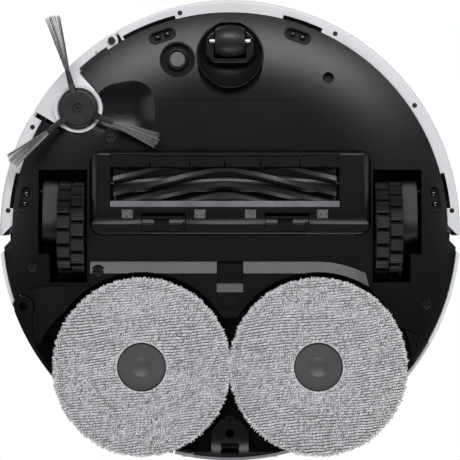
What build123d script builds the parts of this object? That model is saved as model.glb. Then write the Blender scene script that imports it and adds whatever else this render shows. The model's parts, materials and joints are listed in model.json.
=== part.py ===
"""Robot vacuum and mop: a round floor-cleaning robot, built as an assembly of separate pieces.

Frame: the origin is on the floor under the middle of the drive axle. -Y is the direction of travel,
+Z is up, so the robot's right-hand side is -X. All sizes are in millimetres.
"""
from build123d import *

import math
import os

os.makedirs("parts", exist_ok=True)

# ---- driving dimensions ---------------------------------------------------------------------------
BODY_R = 175.0  # outside of the bumper and the rear shell
SHELL_T = 2.4  # wall of the moulded shells
CHASSIS_R = 165.5  # edge of the underside behind the bumper
REAR_R = 172.4  # edge of the underside inside the rear shell
BASE_Z = 12.0  # underside of the brush section
DECK_Z = 8.6  # underside of the mop section, which stands lower
BASE_FLAT_R = 105.0  # the brush section is flat to here, then sweeps up towards its edge
BASE_CURVE_R = 158.5
DECK_FLAT_R = 150.0  # the mop section is flat almost to its edge
DECK_CURVE_R = 30.0
LIP_TOP = 24.6  # the lip of the base plate passes under the bumper
WALL_R = 159.4  # upright wall behind the bumper
WALL_TOP = 44.0
BUMPER_Z = (25.2, 76.6)
BUMPER_END = 88.4  # degrees from straight ahead
SHELL_Z = (22.0, 77.2)
FRAME_Z = (77.6, 80.5)
COVER_Z = (80.9, 84.4)
TURRET_TOP = 104.0
RUN = 0.05  # radial running clearance of a pin in its bore

WHEEL_R = 37.4
WHEEL_X = (109.9, 130.2)
WHEEL_PIVOT = (-29.0, 40.0)  # y and z of the suspension pivot
ARM_X = (131.2, 142.4)
WELL_X = (107.8, 145.1)
WELL_Y = (-45.6, 18.4)
WELL_TAIL_X = 136.6
WELL_TAIL_Y = 39.7
WELL_TOP = 60.0

BRUSH_Y, BRUSH_Z = -34.5, 17.2
BRUSH_R = 15.6
BRUSH_X = (-88.0, 80.2)
GUARD_X = (-105.2, 105.6)
GUARD_Y = (-59.3, 3.2)
GUARD_Z = (6.0, 14.2)
MOUTH_X = (-90.2, 82.4)
MOUTH_Y = (-57.6, -17.1)
LATCH_X = (-50.1, 42.9)
FELT_X = (-77.2, -22.6, 15.4, 69.5)

HUB = (-114.9, -91.9)  # side brush axis
LOBE_R = 18.3
ARM_TOP = 33.4
STRIP_Z = 25.6

CASTER_Y = -132.3
CASTER_AXLE_Y = -142.8
CASTER_WHEEL_R = 12.2
CASTER_R = 25.3

MOP_X, MOP_Y = 66.3, 102.9
MOP_PIVOT = (-156.1, 57.8)
MOP_SWING = 20.0
KNUCKLE_R = 8.4
PAD_R = 65.8
PAD_TOP = 8.2
DISC_Z = (8.5, 12.5)
BAY_R = 71.2
BAY_CEILING = 24.0
ARM_CEILING = 46.0
SKIRT = (109.6, 165.6)  # degrees from straight ahead

LIDAR_Y = 52.0
LIDAR_R = 38.0


# ---- helpers --------------------------------------------------------------------------------------
def save(piece, name):
    """Labels a finished piece and writes its STEP file."""
    piece.part.label = name
    export_step(piece.part, f"parts/{name}.step")


def polar(radius, degrees):
    """A point at an angle from straight ahead, counted towards the robot's right-hand side."""
    turn = math.radians(degrees)
    return (-radius * math.sin(turn), -radius * math.cos(turn))


def swung(point, pivot, degrees):
    """A point turned about an upright axis."""
    turn = math.radians(degrees)
    dx, dy = point[0] - pivot[0], point[1] - pivot[1]
    x = pivot[0] + dx * math.cos(turn) - dy * math.sin(turn)
    y = pivot[1] + dx * math.sin(turn) + dy * math.cos(turn)
    return (x, y)


def span(side, near, far):
    """Two distances from the middle plane as x limits on one side: -1 right, +1 left."""
    return (min(side * near, side * far), max(side * near, side * far))


def box(x, y, z, mode=Mode.ADD):
    """A box between two limits on each axis, in the current part."""
    with Locations(((x[0] + x[1]) / 2, (y[0] + y[1]) / 2, (z[0] + z[1]) / 2)):
        Box(x[1] - x[0], y[1] - y[0], z[1] - z[0], mode=mode)


def drum(x, y, z, radius, mode=Mode.ADD):
    """An upright cylinder between two heights, in the current part."""
    with Locations((x, y, (z[0] + z[1]) / 2)):
        Cylinder(radius, z[1] - z[0], mode=mode)


def rod(x, y, z, radius, mode=Mode.ADD):
    """A cylinder along X between two limits, in the current part."""
    with Locations(((x[0] + x[1]) / 2, y, z)):
        Cylinder(radius, x[1] - x[0], rotation=(0, 90, 0), mode=mode)


def ring_sector(inner, outer, start, end):
    """Plan of part of a ring, between two angles from straight ahead."""
    mid = (start + end) / 2
    with BuildSketch(mode=Mode.PRIVATE) as sector:
        with BuildLine():
            ThreePointArc(polar(outer, start), polar(outer, mid), polar(outer, end))
            Line(polar(outer, end), polar(inner, end))
            ThreePointArc(polar(inner, end), polar(inner, mid), polar(inner, start))
            Line(polar(inner, start), polar(outer, start))
        make_face()
    return sector.sketch


def sector_wall(inner, outer, start, end, z, mode=Mode.ADD):
    """A curved wall between two angles and two heights, in the current part."""
    with BuildSketch(Plane.XY.offset(z[0]), mode=Mode.PRIVATE) as wall_plan:
        add(ring_sector(inner, outer, start, end))
    extrude(wall_plan.sketch, amount=z[1] - z[0], mode=mode)


def envelope(flat_z, flat_r, curve_r, top):
    """Everything above an underside that is flat in the middle and sweeps up to its edge."""
    def height(radius):
        return flat_z + curve_r - math.sqrt(curve_r**2 - (radius - flat_r) ** 2)

    edge_r = BODY_R + 2
    mid_r = (flat_r + edge_r) / 2
    with BuildPart(mode=Mode.PRIVATE) as blank:
        with BuildSketch(Plane.XZ):
            with BuildLine():
                Line((0, flat_z), (flat_r, flat_z))
                ThreePointArc((flat_r, flat_z), (mid_r, height(mid_r)), (edge_r, height(edge_r)))
                Polyline((edge_r, height(edge_r)), (edge_r, top), (0, top), (0, flat_z))
            make_face()
        revolve(axis=Axis.Z)
    return blank.part


def base_solid(rise, top):
    """Everything over the brush section's underside, raised by a wall thickness."""
    return envelope(BASE_Z + rise, BASE_FLAT_R, BASE_CURVE_R, top)


def deck_solid(rise, top):
    """Everything over the mop section's underside, raised by a wall thickness."""
    return envelope(DECK_Z + rise, DECK_FLAT_R, DECK_CURVE_R, top)


def body_plan(inset=0.0):
    """Outline of the underside: smaller behind the bumper, full size at the rear."""
    with BuildSketch(mode=Mode.PRIVATE) as plan:
        Circle(REAR_R - inset)
        with BuildLine():
            Polyline((-160, 1), (-180, 21), (-180, 180), (180, 180), (180, 21), (160, 1), (-160, 1))
        make_face(mode=Mode.INTERSECT)
        Circle(CHASSIS_R - inset)
    return plan.sketch


DECK_EDGE = [
    (-180.0, 64.0), (-164.7, 58.6), (-152.9, 46.0), (-138.9, 42.3), (-105.3, 42.3), (-105.3, 23.9),
    (66.3, 23.9), (76.0, 24.5), (84.5, 26.1), (93.3, 28.7), (102.4, 32.6), (104.6, 42.6), (126.0, 72.7),
    (151.0, 84.0), (180.0, 92.0), (180.0, 180.0), (-180.0, 180.0),
]


def deck_region(grow=0.0):
    """The part of the plan that the mop section takes up."""
    with BuildSketch(mode=Mode.PRIVATE) as region:
        Polygon(*DECK_EDGE, align=None)
        if grow:
            offset(amount=grow, kind=Kind.INTERSECTION, mode=Mode.REPLACE)
    return region.sketch


SWUNG_HUB = swung((-MOP_X, MOP_Y), MOP_PIVOT, MOP_SWING)


def right_bay(grow=0.0):
    """Plan of the right-hand mop bay, long enough for the pad to swing outwards."""
    with BuildSketch(mode=Mode.PRIVATE) as bay:
        with Locations((-MOP_X, MOP_Y), SWUNG_HUB):
            Circle(BAY_R + grow)
        with Locations(((-MOP_X + SWUNG_HUB[0]) / 2 - 3, (MOP_Y + SWUNG_HUB[1]) / 2)):
            Circle(BAY_R + grow)
    return bay.sketch


def arm_reach(degrees, grow):
    """Plan of the room that the arm's plate needs at one angle of its swing."""
    with BuildSketch(mode=Mode.PRIVATE) as reach:
        with Locations(MOP_PIVOT):
            Circle(KNUCKLE_R + 0.6 + grow)
        with Locations(swung((-MOP_X, MOP_Y), MOP_PIVOT, degrees)):
            Circle(27.0 + grow)
        make_hull()
    return reach.sketch


def arm_bay(grow=0.0):
    """Plan of the space above the right-hand pad in which its arm swings."""
    with BuildSketch(mode=Mode.PRIVATE) as bay:
        for degrees in (0.0, MOP_SWING / 2, MOP_SWING):
            add(arm_reach(degrees, grow))
        add(ring_sector(169.0 - grow, BODY_R + 4, SKIRT[0] + 2.4, SKIRT[1] + 0.5))
        add(right_bay(grow))
    return bay.sketch


def skirt_flange(grow=0.0):
    """Plan of the low flange that joins the skirt of the mop arm to its hinge."""
    skirt_r = BODY_R - 0.1
    with BuildSketch(mode=Mode.PRIVATE) as flange:
        with BuildLine():
            Line(MOP_PIVOT, (-149.4, 62.2))
            ThreePointArc((-149.4, 62.2), (-147.0, 86.0), (-137.0, 106.5))
            Line((-137.0, 106.5), polar(skirt_r, 127.5))
            ThreePointArc(polar(skirt_r, 127.5), polar(skirt_r, 118), polar(skirt_r, 110.5))
            Line(polar(skirt_r, 110.5), MOP_PIVOT)
        make_face()
        with Locations(MOP_PIVOT):
            Circle(KNUCKLE_R - 0.4)
        if grow:
            offset(amount=grow, mode=Mode.REPLACE)
    return flange.sketch


def low_bays(grow=0.0):
    """Plan of both mop bays and the gap between them, below their ceilings."""
    with BuildSketch(mode=Mode.PRIVATE) as both:
        add(right_bay(grow))
        with Locations((MOP_X, MOP_Y)):
            Circle(BAY_R + grow)
        with Locations((0, 104.5)):
            Rectangle(30 + 2 * grow, 77 + 2 * grow)
        for side in (-1, 1):
            with Locations((side * 35.0, 147.0)):
                Rectangle(42.0 + 2 * grow, 42.0 + 2 * grow)
    return both.sketch


def well_plan(side, grow=0.0):
    """Plan of a wheel well; side is -1 on the robot's right and +1 on its left."""
    with BuildSketch(mode=Mode.PRIVATE) as plan:
        with Locations((side * (WELL_X[0] + WELL_X[1]) / 2, (WELL_Y[0] + WELL_Y[1]) / 2)):
            Rectangle(WELL_X[1] - WELL_X[0] + 2 * grow, WELL_Y[1] - WELL_Y[0] + 2 * grow)
        with Locations((side * (WELL_X[0] + WELL_TAIL_X) / 2, WELL_TAIL_Y / 2)):
            Rectangle(WELL_TAIL_X - WELL_X[0] + 2 * grow, WELL_TAIL_Y + 2 * grow)
    return plan.sketch


def place_on_edge(radius, degrees):
    """A location whose X axis runs along the body's edge."""
    x, y = polar(radius, degrees)
    return Location((x, y, 0), (0, 0, -degrees))


CLIFF_PLACES = [(156.0, 19.2), (156.0, -19.2), (157.0, 81.3), (157.0, -81.3)]
# x, y and lowest face of each screw head
BASE_SCREWS = [(-90.0, -70.0, 12.9), (74.3, -115.1, 20.0), (-149.6, 28.3, 20.2), (149.2, 56.5, 22.0)]
DECK_SCREWS = [(-99.4, 31.6, 9.9)]
HEAD_T = 2.6
BAY_SCREW = (134.9, 99.3)
SCREW_R = 3.9
SIDE_ARM_PIVOT = polar(169.9, 32.0)
CARPET_SENSOR = (-39.8, -129.0)

# ---- base plate: the underside in front of the mop section ----------------------------------------
with BuildSketch() as base_outline:
    add(body_plan())
    add(deck_region(0.4), mode=Mode.SUBTRACT)
with BuildSketch() as base_inside:
    add(base_outline.sketch)
    offset(amount=-SHELL_T, mode=Mode.REPLACE)
with BuildPart() as base_core:
    add(base_solid(SHELL_T, 40.0))
    with BuildSketch():
        add(base_inside.sketch)
    extrude(amount=60, mode=Mode.INTERSECT)

# smooth hollow beside the side brush, which leads dirt on towards the main brush
SCOOP = (-83.0, -92.0)
SCOOP_SECTIONS = ((-1.0, 56.0), (0.4, 51.0), (2.0, 46.0), (4.0, 39.0), (6.0, 30.0), (7.4, 20.0), (8.0, 10.0))
with BuildPart() as scoop_hollow:
    for rise, width in SCOOP_SECTIONS:
        with BuildSketch(Plane.XY.offset(BASE_Z + rise)):
            with Locations(SCOOP):
                RectangleRounded(width, width - 1.0, 0.36 * width)
    loft()

with BuildPart() as base_plate:
    add(base_solid(0.0, 34.0))
    split(bisect_by=Plane.XY.offset(29.6), keep=Keep.BOTTOM)
    with BuildSketch():
        add(base_outline.sketch)
    extrude(amount=60, mode=Mode.INTERSECT)
    add(base_core.part, mode=Mode.SUBTRACT)
    # lip that passes under the bumper, and the upright wall behind it
    sector_wall(WALL_R, BODY_R + 1, -92.5, 92.5, (LIP_TOP, 60.0), Mode.SUBTRACT)
    sector_wall(WALL_R - SHELL_T, WALL_R, -88.0, 26.0, (22.4, WALL_TOP))
    sector_wall(WALL_R - SHELL_T, WALL_R, 62.5, 88.0, (22.4, WALL_TOP))
    # the wall bridges the side brush arm, and holds the pin on which the arm swings
    sector_wall(WALL_R - SHELL_T, WALL_R, 25.0, 63.5, (ARM_TOP + 0.4, WALL_TOP))
    with BuildSketch(Plane.XY.offset(ARM_TOP + 0.4)):
        with Locations(polar(159.4, 32.0)):
            Circle(4.6)
        with Locations(SIDE_ARM_PIVOT):
            Circle(2.6)
        make_hull()
    extrude(amount=3.6)
    # wall of the scoop
    with BuildSketch(Plane.XY.offset(BASE_Z + 0.2)):
        with Locations(SCOOP):
            RectangleRounded(56.0, 55.0, 20.0)
    extrude(amount=10.4)
    # caster socket with its finger pocket
    drum(0, -124.8, (BASE_Z + 0.3, 20.4), 26.4)
    drum(0, CASTER_Y, (BASE_Z + 0.3, 42.0), 27.2)
    drum(0, -124.8, (5.0, 18.0), 24.4, Mode.SUBTRACT)
    drum(0, CASTER_Y, (5.0, 38.4), CASTER_R + 0.3, Mode.SUBTRACT)
    drum(0, CASTER_Y, (38.0, 43.0), 4.0 + RUN, Mode.SUBTRACT)
    # wheel wells
    for side in (-1, 1):
        with BuildSketch(Plane.XY.offset(BASE_Z + 3)):
            add(well_plan(side, 2.0))
        extrude(amount=WELL_TOP - BASE_Z - 3)
        with BuildSketch():
            add(well_plan(side))
        extrude(amount=80.0, mode=Mode.SUBTRACT)
        rod(span(side, ARM_X[0] + 0.4, WELL_X[1] + 1.9), *WHEEL_PIVOT, 2.5)
    # room for the guard
    with BuildSketch():
        with Locations(((GUARD_X[0] + GUARD_X[1]) / 2, (GUARD_Y[0] + GUARD_Y[1]) / 2)):
            RectangleRounded(GUARD_X[1] - GUARD_X[0] + 1.6, GUARD_Y[1] - GUARD_Y[0] + 1.6, 9.8)
    extrude(amount=60, mode=Mode.SUBTRACT)
    add(scoop_hollow.part, mode=Mode.SUBTRACT)
    # flange below the hinge of the side brush arm
    sector_wall(163.0, 169.1, 34.0, 43.0, (23.2, 25.0))
    # bosses of the screws
    for x, y, head in BASE_SCREWS:
        drum(x, y, (BASE_Z + 0.4, head + HEAD_T + 2.0), SCREW_R + 2.6)
    # opening for the lobe of the side brush arm, long enough for its swing
    with BuildSketch():
        with Locations(HUB, swung(HUB, SIDE_ARM_PIVOT, 12.0), swung(HUB, SIDE_ARM_PIVOT, 25.0)):
            Circle(LOBE_R + 0.9)
        with Locations(MOP_PIVOT):
            Circle(KNUCKLE_R + 0.6)
        add(ring_sector(147.0, BODY_R + 2, 43.6, 59.6))
        add(ring_sector(165.6, BODY_R + 2, 28.0, 34.0))
    extrude(amount=ARM_TOP + 0.4, mode=Mode.SUBTRACT)
    drum(*SIDE_ARM_PIVOT, (20.0, 40.0), 2.0, Mode.SUBTRACT)
    # sensor windows, label recess and screw pockets
    with BuildSketch():
        with Locations(*[place_on_edge(*place) for place in CLIFF_PLACES]):
            SlotOverall(21.4, 10.4)
    extrude(amount=50, mode=Mode.SUBTRACT)
    drum(*CARPET_SENSOR, (5.0, 40.0), 13.5, Mode.SUBTRACT)
    with BuildSketch(Plane.XY.offset(BASE_Z - 0.5)):
        with Locations((0.3, -79.9)):
            RectangleRounded(107.4, 37.1, 5.0)
            RectangleRounded(106.4, 36.1, 4.5, mode=Mode.SUBTRACT)
    extrude(amount=0.9, mode=Mode.SUBTRACT)
    add(base_solid(-0.05, 90.0), mode=Mode.INTERSECT)
    for x, y, head in BASE_SCREWS:
        drum(x, y, (5.0, head + HEAD_T), SCREW_R + 0.4, Mode.SUBTRACT)
save(base_plate, "base_plate")

# ---- mop deck: the lower rear section with its two bays -------------------------------------------
with BuildSketch() as deck_outline:
    add(body_plan())
    add(deck_region(), mode=Mode.INTERSECT)
with BuildSketch() as deck_inside:
    add(deck_outline.sketch)
    offset(amount=-SHELL_T, mode=Mode.REPLACE)
with BuildPart() as deck_core:
    add(deck_solid(SHELL_T, 60.0))
    with BuildSketch():
        add(deck_inside.sketch)
    extrude(amount=60, mode=Mode.INTERSECT)

RAMP = [(22.0, 6.0), (22.0, BASE_Z + 0.6), (32.6, DECK_Z), (32.6, 6.0)]
with BuildPart() as mop_deck:
    add(deck_solid(0.0, 34.0))
    split(bisect_by=Plane.XY.offset(BAY_CEILING), keep=Keep.BOTTOM)
    with BuildSketch():
        add(deck_outline.sketch)
    extrude(amount=60, mode=Mode.INTERSECT)
    add(deck_core.part, mode=Mode.SUBTRACT)
    # walls and ceilings of the bays
    with BuildSketch(Plane.XY.offset(DECK_Z + 2.2)):
        add(low_bays(SHELL_T))
        add(deck_outline.sketch, mode=Mode.INTERSECT)
    extrude(amount=BAY_CEILING + SHELL_T - DECK_Z - 2.2)
    with BuildSketch(Plane.XY.offset(BAY_CEILING)):
        add(arm_bay(SHELL_T))
        add(deck_outline.sketch, mode=Mode.INTERSECT)
    extrude(amount=ARM_CEILING + SHELL_T - BAY_CEILING)
    with BuildSketch():
        add(low_bays())
    extrude(amount=BAY_CEILING, mode=Mode.SUBTRACT)
    # backing of the centre latch
    box((-12.4, 12.4), (24.4, 46.8), (DECK_Z + 2.0, 17.0))
    with BuildSketch(Plane.XY.offset(BAY_CEILING - 0.5)):
        add(arm_bay())
    extrude(amount=ARM_CEILING - BAY_CEILING + 0.5, mode=Mode.SUBTRACT)
    with BuildSketch():
        add(skirt_flange(0.6))
        with Locations(MOP_PIVOT):
            Circle(KNUCKLE_R + 0.6)
        add(ring_sector(169.0, BODY_R + 4, SKIRT[0] + 0.9, SKIRT[1] + 0.5))
    extrude(amount=ARM_CEILING, mode=Mode.SUBTRACT)
    add(deck_solid(0.0, 90.0), mode=Mode.INTERSECT)
    # hinge pin of the mop arm
    drum(*MOP_PIVOT, (22.0, ARM_CEILING + 1.0), 3.3)
    # ramp up to the brush section, straight and then round the left bay
    with BuildSketch(Plane.YZ.offset(-112.0)):
        Polygon(*RAMP, align=None)
    extrude(amount=112.0 + MOP_X, mode=Mode.SUBTRACT)
    with BuildSketch(Plane.YZ.offset(MOP_X)):
        Polygon(*RAMP, align=None)
    revolve(axis=Axis((MOP_X, MOP_Y, 0), (0, 0, 1)), revolution_arc=34.0, mode=Mode.SUBTRACT)
    # centre latch: a finger recess with a slanted lip behind it, and a small cover below
    with BuildSketch(Plane.YZ.offset(-10.0)):
        Polygon((23.0, 4.0), (23.0, 14.6), (40.4, 14.6), (40.4, 11.4), (46.8, DECK_Z), (46.8, 4.0),
                align=None)
    extrude(amount=20.0, mode=Mode.SUBTRACT)
    box((-6.3, 6.3), (48.8, 59.0), (7.0, 9.2), Mode.SUBTRACT)
    box((-5.8, 5.8), (49.3, 58.5), (DECK_Z - 0.2, 10.4))
    # drive opening in the ceiling
    drum(MOP_X, MOP_Y, (15.0, 40.0), 5.0 + RUN, Mode.SUBTRACT)
    # screw pockets
    drum(*BAY_SCREW, (17.0, BAY_CEILING + 1.0), 4.6)
    drum(*BAY_SCREW, (16.0, 21.0), 3.0, Mode.SUBTRACT)
    for x, y, head in DECK_SCREWS:
        drum(x, y, (head, head + HEAD_T + 2.0), SCREW_R + 1.6)
        drum(x, y, (0.0, head + HEAD_T), SCREW_R + 0.4, Mode.SUBTRACT)
    # rear bracket: socket, pilot hole with its collar, and moulded louvres
    drum(0, 153.2, (0.0, 18.0), 3.4, Mode.SUBTRACT)
    drum(0, 143.2, (DECK_Z - 0.4, 11.0), 3.7)
    drum(0, 143.2, (0.0, 18.0), 1.4, Mode.SUBTRACT)
    box((-6.9, 6.9), (161.6, 166.0), (0.0, DECK_Z + 3.6), Mode.SUBTRACT)
    for y in (163.8, 168.6):
        box((-6.9, 6.9), (y - 0.5, y + 0.5), (DECK_Z + 0.6, DECK_Z + 8.0))
    # room for the land of the charging contacts
    box((-40.0, 40.0), (168.2, 180.0), (BAY_CEILING + SHELL_T, 60.0), Mode.SUBTRACT)
save(mop_deck, "mop_deck")

# ---- shells ---------------------------------------------------------------------------------------
with BuildPart() as rear_shell:
    with BuildSketch(Plane.XY.offset(SHELL_Z[0])):
        Circle(BODY_R)
        Circle(BODY_R - SHELL_T, mode=Mode.SUBTRACT)
        Polygon((-162.0, 6.6), (-180, 24.0), (-180, -180), (180, -180), (180, 24.0), (162.0, 6.6),
                align=None, mode=Mode.SUBTRACT)
    extrude(amount=SHELL_Z[1] - SHELL_Z[0])
    with BuildSketch():
        with Locations(MOP_PIVOT):
            Circle(KNUCKLE_R + 0.6)
        add(ring_sector(165.0, BODY_R + 4, SKIRT[0] + 0.9, SKIRT[1] + 0.5))
    extrude(amount=ARM_CEILING + 0.4, mode=Mode.SUBTRACT)
    # land for the charging contacts
    box((-36.0, 36.0), (169.8, 172.6), (26.8, 44.0))
    box((-32.0, 32.0), (172.4, 176.0), (28.4, 42.4), Mode.SUBTRACT)
    # exhaust slots at the left
    for step in range(9):
        with BuildSketch(Plane.XY.offset(52.0)):
            add(ring_sector(165.0, 180.0, -122.0 - 4 * step, -120.0 - 4 * step))
        extrude(amount=14.0, mode=Mode.SUBTRACT)
save(rear_shell, "rear_shell")

with BuildPart() as charge_contacts:
    for x in (-22.0, 22.0):
        with BuildSketch(Plane.XZ.offset(-173.4)):
            with Locations((x, 35.4)):
                RectangleRounded(16.0, 8.0, 2.0)
        extrude(amount=1.0)
save(charge_contacts, "charge_contacts")

with BuildPart() as top_frame:
    with BuildSketch(Plane.XY.offset(FRAME_Z[0])):
        Circle(BODY_R - SHELL_T - 0.4)
        with Locations((-1.0, -102.0)):
            RectangleRounded(146.0, 76.0, 8.0, mode=Mode.SUBTRACT)
    extrude(amount=FRAME_Z[1] - FRAME_Z[0])
    drum(0, LIDAR_Y, (79.0, 82.6), LIDAR_R - 3.0)
    # posts that stand on the chassis wall and on the base plate
    for degrees in (32, 68, 292, 328):
        drum(*polar(158.2, degrees), (WALL_TOP, FRAME_Z[0] + 0.5), 4.0)
    for degrees in (100, 260):
        drum(*polar(158.2, degrees), (27.2, FRAME_Z[0] + 0.5), 4.0)
save(top_frame, "top_frame")

cover_r = BODY_R - 2.0
with BuildPart() as top_cover:
    with BuildSketch(Plane.XZ):
        with BuildLine():
            Polyline((0, COVER_Z[1]), (0, COVER_Z[0]), (cover_r, COVER_Z[0]), (cover_r, COVER_Z[1] - 2.4))
            RadiusArc((cover_r, COVER_Z[1] - 2.4), (cover_r - 2.4, COVER_Z[1]), -2.4)
            Line((cover_r - 2.4, COVER_Z[1]), (0, COVER_Z[1]))
        make_face()
    revolve(axis=Axis.Z)
    drum(0, LIDAR_Y, (70.0, 90.0), LIDAR_R + 2.0, Mode.SUBTRACT)
    for x in (-15.0, 15.0):
        drum(x, -14.0, (70.0, 90.0), 7.3, Mode.SUBTRACT)
save(top_cover, "top_cover")

for name, x in (("power_button", -15.0), ("home_button", 15.0)):
    with BuildPart() as button:
        drum(x, -14.0, (82.0, 84.9), 7.0)
        fillet(button.edges().group_by(Axis.Z)[-1], 0.8)
    save(button, name)

# ---- bumper ---------------------------------------------------------------------------------------
with BuildPart() as bumper_shell:
    sector_wall(BODY_R - SHELL_T, BODY_R, -BUMPER_END - 3, BUMPER_END + 3, BUMPER_Z)
    sector_wall(163.8, BODY_R - 0.5, -BUMPER_END - 3, BUMPER_END + 3, (BUMPER_Z[0], BUMPER_Z[0] + 2.2))
    sector_wall(168.0, BODY_R - 0.5, -BUMPER_END - 3, BUMPER_END + 3, (BUMPER_Z[1] - 2.4, BUMPER_Z[1]))
    outer_rims = bumper_shell.edges().filter_by(GeomType.CIRCLE).filter_by(
        lambda edge: abs(edge.radius - BODY_R) < 0.01
    )
    fillet(outer_rims, 2.2)
    # both ends are cut at an angle, square to the slanted ends of the rear shell
    with BuildSketch():
        Polygon((-150.0, 12.2), (-150.0, -19.3), (-185.0, 15.7), (-185.0, 30.0), (-150, 30), align=None)
        Polygon((150.0, 12.2), (150.0, -19.3), (185.0, 15.7), (185.0, 30.0), (150, 30), align=None)
    extrude(amount=90.0, mode=Mode.SUBTRACT)
    # notch over the side brush arm
    sector_wall(160.0, 180.0, 29.6, 59.9, (20.0, ARM_TOP + 4.8), Mode.SUBTRACT)
    # recess for the sensor window
    sector_wall(BODY_R - 1.4, BODY_R + 1, -33.0, 33.0, (46.0, 62.0), Mode.SUBTRACT)
    # slots where the base plate's hooks show
    for start, end in ((-24.7, -14.0), (14.4, 29.0), (75.0, 84.3), (-84.3, -75.0)):
        sector_wall(162.0, 168.6, start, end, (20.0, BUMPER_Z[0] + 2.3), Mode.SUBTRACT)
    for degrees in (13.0, -28.2, -56.0, -85.0, 62.5, 85.0):
        x, y = polar(169.4, degrees)
        drum(x, y, (20.0, 30.0), 1.9, Mode.SUBTRACT)
save(bumper_shell, "bumper_shell")

with BuildPart() as bumper_screws:
    for degrees in (13.0, -28.2, -56.0, -85.0, 62.5, 85.0):
        x, y = polar(169.4, degrees)
        drum(x, y, (BUMPER_Z[0] + 0.5, BUMPER_Z[0] + 5.0), 1.8)
save(bumper_screws, "bumper_screws")

with BuildPart() as bumper_window:
    sector_wall(BODY_R - 1.3, BODY_R - 0.1, -32.8, 32.8, (46.2, 61.8))
save(bumper_window, "bumper_window")

# ---- chassis screws and sensors -------------------------------------------------------------------
with BuildPart() as chassis_screws:
    for x, y, head in BASE_SCREWS + DECK_SCREWS:
        drum(x, y, (head, head + HEAD_T), SCREW_R)
        drum(x, y, (head - 1.0, head + 0.3), SCREW_R - 0.7, Mode.SUBTRACT)
        box((x - 2.6, x + 2.6), (y - 0.5, y + 0.5), (head - 1.0, head + 1.4), Mode.SUBTRACT)
        box((x - 0.5, x + 0.5), (y - 2.6, y + 2.6), (head - 1.0, head + 1.4), Mode.SUBTRACT)
    drum(*BAY_SCREW, (18.6, 20.8), 2.9)
save(chassis_screws, "chassis_screws")

with BuildPart() as cliff_sensor_housings:
    with BuildSketch(Plane.XY.offset(19.0)):
        with Locations(*[place_on_edge(*place) for place in CLIFF_PLACES]):
            SlotOverall(20.8, 9.8)
    extrude(amount=14.0)
    with BuildSketch(Plane.XY.offset(18.0)):
        with Locations(*[place_on_edge(*place) for place in CLIFF_PLACES]):
            SlotOverall(18.4, 7.4)
    extrude(amount=4.0, mode=Mode.SUBTRACT)
    with BuildSketch(Plane.XY.offset(18.0)):
        with Locations(*[place_on_edge(*place) for place in CLIFF_PLACES]):
            with Locations((-3.9, 0), (3.9, 0)):
                Circle(2.6)
    extrude(amount=8.0, mode=Mode.SUBTRACT)
save(cliff_sensor_housings, "cliff_sensor_housings")

with BuildPart() as cliff_sensor_lenses:
    with BuildSketch(Plane.XY.offset(22.4)):
        with Locations(*[place_on_edge(*place) for place in CLIFF_PLACES]):
            with Locations((-3.9, 0), (3.9, 0)):
                Circle(2.5)
    extrude(amount=3.4)
    for place in CLIFF_PLACES:
        for along in (-3.9, 3.9):
            dome = place_on_edge(*place) * Pos(along, 0, 22.4)
            with Locations(dome):
                Sphere(2.5)
save(cliff_sensor_lenses, "cliff_sensor_lenses")

with BuildPart() as carpet_sensor_ring:
    drum(*CARPET_SENSOR, (14.0, 32.0), 13.3)
    drum(*CARPET_SENSOR, (12.0, 17.4), 11.8, Mode.SUBTRACT)
    drum(*CARPET_SENSOR, (14.8, 18.0), 8.4)
    fillet(carpet_sensor_ring.edges().filter_by(lambda edge: abs(edge.center().Z - 14.8) < 0.01), 0.9)
    drum(*CARPET_SENSOR, (12.0, 24.0), 6.5, Mode.SUBTRACT)
save(carpet_sensor_ring, "carpet_sensor_ring")

with BuildPart() as carpet_sensor_lens:
    drum(*CARPET_SENSOR, (15.6, 23.8), 6.3)
    fillet(carpet_sensor_lens.edges().group_by(Axis.Z)[0], 1.6)
save(carpet_sensor_lens, "carpet_sensor_lens")

# ---- caster ---------------------------------------------------------------------------------------
with BuildPart() as caster_shoulders:
    with BuildSketch(Plane.XY.offset(11.4)):
        with Locations((0, CASTER_AXLE_Y + 1.4)):
            RectangleRounded(36.0, 30.0, 8.0)
        with Locations((0, CASTER_Y)):
            Circle(CASTER_R - 3.4, mode=Mode.INTERSECT)
    extrude(amount=20.0, taper=-12)
    fillet(caster_shoulders.edges().group_by(Axis.Z)[0], 2.0)

with BuildPart() as caster_swivel:
    drum(0, CASTER_Y, (10.4, 37.6), CASTER_R)
    fillet(caster_swivel.edges().group_by(Axis.Z)[0], 0.8)
    with Locations((0, CASTER_Y, -8.0)):
        Sphere(30.4, mode=Mode.SUBTRACT)
    add(caster_shoulders.part)
    drum(0, CASTER_Y, (37.0, 42.0), 4.0)
    rod((-12.2, 12.2), CASTER_AXLE_Y, CASTER_WHEEL_R, 13.4, Mode.SUBTRACT)
    box((-12.2, 12.2), (CASTER_AXLE_Y - 13.4, CASTER_AXLE_Y + 13.4), (4.0, CASTER_WHEEL_R), Mode.SUBTRACT)
    for side in (-1, 1):
        notch = span(side, 11.0, 16.0)
        box(notch, (CASTER_AXLE_Y - 3.2, CASTER_AXLE_Y + 3.2), (4.0, CASTER_WHEEL_R), Mode.SUBTRACT)
    rod((-17.0, 17.0), CASTER_AXLE_Y, CASTER_WHEEL_R, 1.5 + RUN, Mode.SUBTRACT)
    with BuildSketch():
        with Locations((0, CASTER_Y)):
            Circle(CASTER_R)
    extrude(amount=60.0, mode=Mode.INTERSECT)
save(caster_swivel, "caster_swivel")

with BuildPart() as caster_axle:
    rod((-15.4, 15.4), CASTER_AXLE_Y, CASTER_WHEEL_R, 1.5)
save(caster_axle, "caster_axle")

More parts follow.
